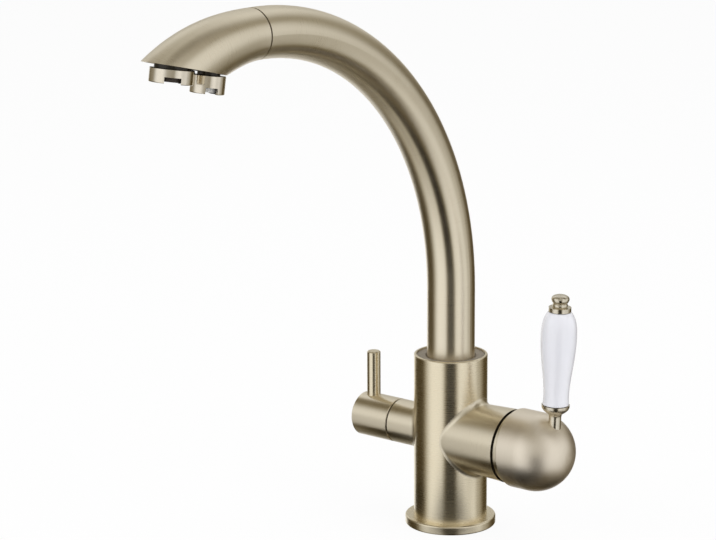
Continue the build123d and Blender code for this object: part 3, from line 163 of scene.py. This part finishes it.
class Shader:
    """Small helper that lays out a material's nodes."""

    def __init__(self, name):
        self.material = empty_material(name)
        self.tree = self.material.node_tree
        self.output = self.add("ShaderNodeOutputMaterial")
        self.surface = self.add("ShaderNodeBsdfPrincipled")
        self.link(self.surface.outputs["BSDF"], self.output.inputs["Surface"])

    def add(self, kind, **settings):
        node = self.tree.nodes.new(kind)
        for key, value in settings.items():
            setattr(node, key, value)
        return node

    def link(self, out_socket, in_socket):
        self.tree.links.new(out_socket, in_socket)

    def feed(self, socket, value):
        """Gives an input a number, a colour or another node's output."""
        if isinstance(value, bpy.types.NodeSocket):
            self.link(value, socket)
        elif isinstance(value, tuple):
            socket.default_value = (*value, 1)
        else:
            socket.default_value = value

    def give(self, name, value):
        """Feeds an input of the surface."""
        self.feed(self.surface.inputs[name], value)

    def math(self, operation, first, second=0.0):
        node = self.add("ShaderNodeMath", operation=operation)
        self.feed(node.inputs[0], first)
        self.feed(node.inputs[1], second)
        return node.outputs[0]

    def combine(self, x, y, z):
        node = self.add("ShaderNodeCombineXYZ")
        for socket, value in zip(node.inputs, (x, y, z)):
            self.feed(socket, value)
        return node.outputs[0]

    def split(self, vector):
        node = self.add("ShaderNodeSeparateXYZ")
        self.link(vector, node.inputs[0])
        return node.outputs

    def point(self):
        """Point on the piece, in the object's own frame."""
        return self.add("ShaderNodeTexCoord").outputs["Object"]

    def facing(self):
        """Components of the direction that the surface faces."""
        return self.split(self.add("ShaderNodeNewGeometry").outputs["True Normal"])

    def noise(self, vector, scale, detail, roughness):
        node = self.add("ShaderNodeTexNoise")
        values = {"Vector": vector, "Scale": scale, "Detail": detail, "Roughness": roughness}
        for name, value in values.items():
            self.feed(node.inputs[name], value)
        return node.outputs["Fac"]

    def spread(self, factor, low, high, new_low, new_high):
        """Maps a range of a factor to another range."""
        node = self.add("ShaderNodeMapRange")
        for socket, value in zip(node.inputs, (factor, low, high, new_low, new_high)):
            self.feed(socket, value)
        return node.outputs[0]

    def distance(self, across, up):
        """Distance from an axis, out of two distances square to it."""
        squares = self.math("ADD", self.math("MULTIPLY", across, across), self.math("MULTIPLY", up, up))
        return self.math("SQRT", squares)

    def mix_colour(self, factor, first, second):
        node = self.add("ShaderNodeMix", data_type="RGBA")
        self.feed(node.inputs[0], factor)
        self.feed(node.inputs[6], first)
        self.feed(node.inputs[7], second)
        return node.outputs[2]

    def rough(self, grain, low, high):
        """Roughness between two values, as a grain goes through its usual range."""
        self.give("Roughness", self.spread(grain, *GRAIN_RANGE, low, high))

    def bump(self, height, strength, depth):
        node = self.add("ShaderNodeBump")
        values = {"Strength": strength, "Distance": depth, "Height": height}
        for name, value in values.items():
            self.feed(node.inputs[name], value)
        self.give("Normal", node.outputs[0])


def dimmed(colour, share):
    return tuple(share * part for part in colour)


def around(value, spread):
    return (value + spread[0], value + spread[1])


def along_spout(shader, y, z):
    """Distance along the spout's centre line and the direction of that line."""
    past_bend = shader.math("MAXIMUM", shader.math("SUBTRACT", z, BEND_START), 0.0)
    across = shader.math("ADD", y, BEND_RADIUS)
    turn = shader.math("ARCTAN2", past_bend, across)
    travelled = shader.math("MULTIPLY", turn, BEND_RADIUS)
    straight = shader.math("MINIMUM", z, BEND_START)
    direction = shader.combine(0.0, shader.math("MULTIPLY", past_bend, -1.0), across)
    return shader.math("ADD", travelled, straight), direction


def surface_lay(shader, lay, x, y, z):
    """Distance along a piece and the direction in which it runs."""
    if lay == "spout":
        return along_spout(shader, y, z)
    if lay == "x":
        return x, shader.combine(1.0, 0.0, 0.0)
    lean = math.radians(LEVER_LEAN) if lay == "lever" else 0.0
    return z, shader.combine(math.sin(lean), 0.0, math.cos(lean))


# ---------------------------------------------------------------- painted shade
def painted_shade_within(shader, distance, radius):
    return shader.spread(distance, radius - PAINTED_SHADE_EDGE, radius, 1.0, 0.0)


def seam_painted_shade(shader, x, y, z):
    """Painted shade on the seam's walls, inside its radius, and on end faces past the branch's end."""
    shaded_inside = painted_shade_within(shader, shader.distance(y, shader.math("SUBTRACT", z, AXIS_Z)), SEAM_SHADE_RADIUS)
    shaded_ends = shader.spread(shader.math("ABSOLUTE", shader.facing()[0]), *SEAM_SHADE_FACING, 0.0, 1.0)
    past_branch = shader.math("GREATER_THAN", x, SEAM_SHADE_START)
    return shader.math("MAXIMUM", shaded_inside, shader.math("MULTIPLY", shaded_ends, past_branch))


def outlet_painted_shade(shader, x, y, z, middle, radius):
    """Painted shade in an outlet's bore, on its neck and on the face under the spout's head."""
    tilt = math.radians(OUTLET_TILT)
    level = shader.math("MULTIPLY", z, math.sin(tilt))
    across = shader.math("SUBTRACT", shader.math("MULTIPLY", y, math.cos(tilt)), level)
    off = shader.math("SUBTRACT", across, middle)
    shaded_inside = painted_shade_within(shader, shader.distance(x, off), radius)
    shaded_upward = shader.spread(shader.facing()[2], *NECK_SHADE_FACING, 0.0, 1.0)
    return shader.math("MAXIMUM", shaded_inside, shaded_upward)


def paint_metal(shader, shade, dark=None):
    """Metal of a shade, with painted shade, dark and dull, where a mask says so."""
    if dark is None:
        shader.give("Base Color", shade)
        shader.give("Metallic", 1.0)
    else:
        shader.give("Base Color", shader.mix_colour(dark, shade, PAINTED_SHADE_RGB))
        shader.give("Metallic", shader.spread(dark, 0.0, 1.0, 1.0, PAINTED_SHADE_METALLIC))


# ---------------------------------------------------------------- materials
def brushed(name, lay, colour=BRASS, deep=BRASS_DEEP, roughness=0.30, anisotropy=0.85, seam_shade=False):
    """Brushed metal. The lay says which way the piece runs: x, z, lever or spout."""
    shader = Shader(name)
    point = shader.point()
    x, y, z = shader.split(point)
    along, direction = surface_lay(shader, lay, x, y, z)
    squeezed = shader.add("ShaderNodeVectorMath", operation="ADD")
    shader.link(shader.combine(shader.math("MULTIPLY", along, SCRATCH_SQUEEZE), 0.0, 0.0), squeezed.inputs[0])
    shader.link(point, squeezed.inputs[1])
    scratches = shader.noise(squeezed.outputs[0], *SCRATCHES)
    clouds = shader.noise(point, *CLOUDS)
    scratch_part = shader.math("MULTIPLY", scratches, SCRATCH_SHARE)
    cloud_part = shader.math("MULTIPLY", clouds, 1 - SCRATCH_SHARE)
    tone = shader.math("ADD", scratch_part, cloud_part)
    shade = shader.mix_colour(shader.spread(tone, *TONE_RANGE, 0.0, 1.0), deep, colour)
    # painted shade in the groove behind the ball, when asked for
    paint_metal(shader, shade, seam_painted_shade(shader, x, y, z) if seam_shade else None)
    shader.rough(tone, *around(roughness, BRUSHED_SPREAD))
    shader.give("Anisotropic", anisotropy)
    shader.give("Tangent", direction)
    shader.bump(scratches, *SCRATCH_RELIEF)
    return shader.material


def machined(name, colour, roughness):
    """Turned metal with faint tool marks."""
    shader = Shader(name)
    point = shader.point()
    marks = shader.noise(point, *TOOL_MARKS)
    tarnish = shader.noise(point, *TARNISH)
    paint_metal(shader, shader.mix_colour(tarnish, dimmed(colour, TARNISH_TONE), colour))
    shader.rough(marks, *around(roughness, MACHINED_SPREAD))
    shader.bump(marks, *MARK_RELIEF)
    return shader.material


def outlet_brass(name, middle, shade_radius):
    """Polished ring of an outlet, with painted shade in its bore, on its neck and under the spout's head."""
    shader = Shader(name)
    point = shader.point()
    marks = shader.noise(point, *TOOL_MARKS)
    shade = shader.mix_colour(marks, dimmed(POLISHED, OUTLET_TONE), POLISHED)
    paint_metal(shader, shade, outlet_painted_shade(shader, *shader.split(point), middle, shade_radius))
    shader.rough(marks, *OUTLET_GLOSS)
    shader.bump(marks, *MARK_RELIEF)
    return shader.material


def glazed(name, colour):
    """Glazed porcelain: a soft body under a clear, very slightly wavy glaze."""
    shader = Shader(name)
    waves = shader.noise(shader.point(), *GLAZE_WAVES)
    cooler = tuple(part * tone for part, tone in zip(colour, GLAZE_TONES))
    shader.give("Base Color", shader.mix_colour(waves, cooler, colour))
    shader.rough(waves, *GLAZE_GLOSS)
    shader.give("Coat Weight", GLAZE_COAT)
    shader.give("Coat Roughness", GLAZE_COAT_ROUGHNESS)
    shader.bump(waves, *WAVE_RELIEF)
    return shader.material


def moulded(name, colour, roughness, scale, contrast=0.18):
    """Moulded plastic, rubber or ceramic with a fine grain."""
    shader = Shader(name)
    specks = shader.noise(shader.point(), scale, *SPECK_DETAIL)
    shader.give("Base Color", shader.mix_colour(specks, dimmed(colour, 1 - contrast), colour))
    shader.rough(specks, *around(roughness, MOULDED_SPREAD))
    shader.bump(specks, *SPECK_RELIEF)
    return shader.material


def dress(material, *names):
    """Gives CAD nodes one material."""
    for name in names:
        slots = nodes[name].data.materials
        slots.clear()
        slots.append(material)


# ---------------------------------------------------------------- finishes
dress(
    brushed("brushed_brass_upright", "z", roughness=0.27),
    "tap_body", "column_foot", "base_flange", "filter_pin_lever",
)
dress(brushed("brushed_brass_turned", "x", PALE_BRASS, PALE_BRASS_DEEP), "filter_branch", "filter_knob")
# the branch and ring by the ball get painted shade in their groove
dress(brushed("brushed_brass_painted_seam_shade", "x", PALE_BRASS, PALE_BRASS_DEEP, seam_shade=True), "mixer_branch", "dome_ring")
dress(
    brushed("brushed_brass_ball", "x", BALL_BRASS, BALL_BRASS_DEEP, roughness=0.42, anisotropy=0.2),
    "handle_cap", "handle_screw_plug",
)
dress(brushed("brushed_brass_spout", "spout", PALE_BRASS, PALE_BRASS_DEEP), "spout_tube", "spout_head")
dress(
    brushed("brushed_brass_lever", "lever", LEVER_BRASS, LEVER_BRASS_DEEP, roughness=0.24),
    "lever_stem", "lever_cup", "lever_finial",
)
# the outlets get painted shade in their bores, on their necks and under the spout's head
dress(outlet_brass("polished_aerator_painted_shade", AERATOR_MIDDLE, AERATOR_SHADE_RADIUS), "aerator_housing")
dress(outlet_brass("polished_nozzle_painted_shade", NOZZLE_MIDDLE, NOZZLE_SHADE_RADIUS), "filter_nozzle_housing")
dress(
    machined("plain_brass", PLAIN_BRASS, 0.30),
    "inlet_manifold", "filtered_water_riser", "spout_swivel_sleeve",
    "cartridge_nut", "filter_valve_body", "filter_spindle",
)
dress(
    machined("stainless_steel", STEEL, 0.28),
    "spout_retaining_screw", "lever_cross_pin", "cartridge_lever", "handle_grub_screw", "lever_tie_rod",
)
dress(glazed("white_porcelain", PORCELAIN), "porcelain_grip")
dress(
    moulded("lapped_ceramic", CERAMIC, 0.30, 500.0),
    "fixed_ceramic_disc", "moving_ceramic_disc", "filter_fixed_disc", "filter_moving_disc",
)
dress(
    moulded("white_plastic", WHITE_PLASTIC, 0.45, 350.0),
    "lower_spout_bush", "filtered_water_tube", "cartridge_base", "cartridge_housing", "cartridge_rotor",
)
dress(moulded("grey_plastic", GREY_PLASTIC, 0.45, 350.0), "disc_carrier", "grip_washers")
dress(moulded("pale_plastic", PALE_PLASTIC, 0.40, 350.0), "filter_nozzle_insert")
dress(
    moulded("brown_plastic", BROWN_PLASTIC, 0.50, 350.0),
    "head_joint_sleeve", "outlet_block", "aerator_insert",
)
dress(moulded("filled_nylon", FILLED_NYLON, 0.55, 900.0, contrast=0.45), "upper_spout_bush")
dress(
    moulded("black_rubber", RUBBER, 0.60, 600.0),
    "base_gasket", "manifold_seals", "spout_orings", "riser_oring", "aerator_washer", "filter_nozzle_washer",
    "cartridge_seals", "filter_valve_orings", "filter_spindle_oring",
)


# ---------------------------------------------------------------- studio
def seen_directly(tree):
    """One for the rays that show the background: camera, glossy and transmission."""
    path = tree.nodes.new("ShaderNodeLightPath")
    total = path.outputs["Is Camera Ray"]
    for name in ("Is Glossy Ray", "Is Transmission Ray"):
        both = tree.nodes.new("ShaderNodeMath")
        both.operation = "MAXIMUM"
        tree.links.new(total, both.inputs[0])
        tree.links.new(path.outputs[name], both.inputs[1])
        total = both.outputs[0]
    return total


def plain_shader(tree, kind, tone):
    """Shader of one grey tone, from 0 for black to 1 for white."""
    node = tree.nodes.new(kind)
    node.inputs["Color"].default_value = (tone, tone, tone, 1)
    return node.outputs[0]


def mix_shaders(tree, factor, first, second):
    mix = tree.nodes.new("ShaderNodeMixShader")
    for socket, source in zip(mix.inputs, (factor, first, second)):
        tree.links.new(source, socket)
    return mix.outputs[0]


def end_in(tree, kind, surface):
    """Ends a tree of nodes in its output."""
    tree.links.new(surface, tree.nodes.new(kind).inputs["Surface"])


def place_mesh(name, points, faces, material):
    mesh = bpy.data.meshes.new(name)
    mesh.from_pydata(points, [], faces)
    mesh.materials.append(material)
    item = bpy.data.objects.new(name, mesh)
    bpy.context.collection.objects.link(item)
    return item


def make_floor():
    """Large pale floor that keeps the object's shadow."""
    material = empty_material("pale_floor")
    tree = material.node_tree
    share = tree.nodes.new("ShaderNodeMath")
    share.operation = "MULTIPLY"
    share.inputs[1].default_value = FLOOR_GLOW
    tree.links.new(seen_directly(tree), share.inputs[0])
    matt = plain_shader(tree, "ShaderNodeBsdfDiffuse", FLOOR_TONE)
    glow = plain_shader(tree, "ShaderNodeEmission", 1)
    end_in(tree, "ShaderNodeOutputMaterial", mix_shaders(tree, share.outputs[0], matt, glow))
    far = FLOOR_REACH
    corners = [(-far, -far, 0), (far, -far, 0), (far, far, 0), (-far, far, 0)]
    floor = place_mesh("studio_floor", corners, [(0, 1, 2, 3)], material)
    floor.visible_glossy = False


def soft_step(share):
    """Smooth step from 0 to 1 as the share goes from 0 to 1."""
    share = min(max(share, 0.0), 1.0)
    return share * share * (3 - 2 * share)


def soft_window(value, low, high, soft_low, soft_high):
    """1 between two edges and 0 outside them, with a soft step of a given width at each."""
    return soft_step((value - low) / soft_low + 0.5) * soft_step((high - value) / soft_high + 0.5)


def dome_tone(turn, rise):
    """Brightness of the studio in a direction: white, less every flag that hangs there."""
    tone = 1.0
    for turn_low, turn_high, turn_soft, rise_low, rise_high, rise_soft, flag_tone in FLAGS:
        across = max(
            soft_window(turn + lap, turn_low, turn_high, *turn_soft) for lap in (-360, 0, 360)
        )
        up = soft_window(rise, rise_low, rise_high, rise_soft, rise_soft)
        tone *= 1 - (1 - flag_tone) * across * up
    return tone


def warm(tone):
    """Colour of a tone: the darker the studio is, the browner it looks in the metal."""
    dark = 1 - tone
    green = tone * (1 - GREEN_LOSS * dark ** GREEN_POWER)
    blue = tone * (1 - BLUE_LOSS * dark ** BLUE_POWER)
    return (tone, green, blue, 1.0)


def make_reflected_mesh(name, points, faces, colours, see_through=False):
    """Surface that only shows in reflections, with a colour and a cover for every point."""
    material = empty_material(name)
    tree = material.node_tree
    tone = tree.nodes.new("ShaderNodeAttribute")
    tone.attribute_name = "tone"
    glow = tree.nodes.new("ShaderNodeEmission")
    tree.links.new(tone.outputs["Color"], glow.inputs["Color"])
    surface = glow.outputs[0]
    if see_through:
        clear = plain_shader(tree, "ShaderNodeBsdfTransparent", 1)
        surface = mix_shaders(tree, tone.outputs["Alpha"], clear, surface)
    end_in(tree, "ShaderNodeOutputMaterial", surface)
    card = place_mesh(name, points, faces, material)
    layer = card.data.color_attributes.new("tone", "FLOAT_COLOR", "POINT")
    for item, colour in zip(layer.data, colours):
        item.color = colour
    card.visible_camera = False
    card.visible_diffuse = False
    card.visible_transmission = False
    card.visible_shadow = False


def make_dome():
    """Sphere of white paper and dark flags round the tap."""
    points = []
    colours = []
    faces = []
    for row in range(DOME_RISES + 1):
        rise = -90 + 180 * row / DOME_RISES
        flat = DOME_RADIUS * math.cos(math.radians(rise))
        height = DOME_RADIUS * math.sin(math.radians(rise))
        for column in range(DOME_TURNS):
            turn = 360 * column / DOME_TURNS - 180
            angle = math.radians(turn)
            points.append((flat * math.cos(angle), flat * math.sin(angle), height))
            colours.append(warm(dome_tone(turn, rise)))
    for row in range(DOME_RISES):
        for column in range(DOME_TURNS):
            first = row * DOME_TURNS + column
            second = row * DOME_TURNS + (column + 1) % DOME_TURNS
            faces.append((first, second, second + DOME_TURNS, first + DOME_TURNS))
    make_reflected_mesh("studio_dome", points, faces, colours)


def make_ground_shade(name, middle, reach):
    """Soft dark oval on the ground under a branch, where the tap keeps the light off."""
    points = [(*middle, SHADE_HEIGHT)]
    colours = [(*SHADE_COLOUR, 1.0)]
    faces = []
    for ring in range(SHADE_RINGS):
        share = ring / (SHADE_RINGS - 1)
        size = 1 - SHADE_SOFTNESS * (1 - share)
        outer = 1 + ring * SHADE_SIDES
        inner = outer - SHADE_SIDES
        for side in range(SHADE_SIDES):
            turn = math.radians(360 * side / SHADE_SIDES)
            x = middle[0] + reach[0] * size * math.cos(turn)
            y = middle[1] + reach[1] * size * math.sin(turn)
            points.append((x, y, SHADE_HEIGHT))
            colours.append((*SHADE_COLOUR, 1 - soft_step(share)))
            after = (side + 1) % SHADE_SIDES
            if ring == 0:
                faces.append((0, outer + side, outer + after))
            else:
                faces.append((inner + side, outer + side, outer + after, inner + after))
    make_reflected_mesh(name, points, faces, colours, see_through=True)


def make_lamp(name, place, size, power):
    lamp = bpy.data.lights.new(name, "AREA")
    lamp.shape = "RECTANGLE"
    lamp.size = size[0]
    lamp.size_y = size[1]
    lamp.energy = power
    holder = bpy.data.objects.new(name, lamp)
    holder.location = place
    holder.rotation_mode = "QUATERNION"
    holder.rotation_quaternion = (Vector(LAMP_AIM) - Vector(place)).to_track_quat("-Z", "Y")
    holder.visible_glossy = False
    bpy.context.collection.objects.link(holder)


def make_world():
    """White where it is seen or mirrored, and a plain level of fill light elsewhere."""
    world = bpy.data.worlds.new("studio")
    world.use_nodes = True
    tree = world.node_tree
    tree.nodes.clear()
    fill = plain_shader(tree, "ShaderNodeBackground", FILL_TONE)
    white = plain_shader(tree, "ShaderNodeBackground", 1)
    end_in(tree, "ShaderNodeOutputWorld", mix_shaders(tree, seen_directly(tree), fill, white))
    bpy.context.scene.world = world


def make_camera():
    turn = math.radians(CAMERA_TURN)
    down = math.radians(CAMERA_DOWN)
    ahead = Vector((-math.sin(turn) * math.cos(down), math.cos(turn) * math.cos(down), -math.sin(down)))
    right = ahead.cross(Vector((0, 0, 1))).normalized()
    up = right.cross(ahead)
    roll = math.radians(CAMERA_ROLL)
    rolled_right = right * math.cos(roll) + up * math.sin(roll)
    rolled_up = up * math.cos(roll) - right * math.sin(roll)
    turned = Matrix((rolled_right, rolled_up, -ahead)).transposed().to_4x4()
    data = bpy.data.cameras.new("camera")
    data.sensor_width = PICTURE_WIDTH
    data.lens = CAMERA_LENS
    data.clip_end = CAMERA_SIGHT
    camera = bpy.data.objects.new("camera", data)
    camera.matrix_world = Matrix.Translation(CAMERA_PLACE) @ turned
    bpy.context.collection.objects.link(camera)
    bpy.context.scene.camera = camera


make_world()
make_floor()
make_dome()
make_ground_shade("ball_shade", *BALL_SHADE)
make_ground_shade("knob_shade", *KNOB_SHADE)
for lamp_values in LAMPS:
    make_lamp(*lamp_values)
make_camera()

bpy.context.scene.view_settings.view_transform = "Standard"
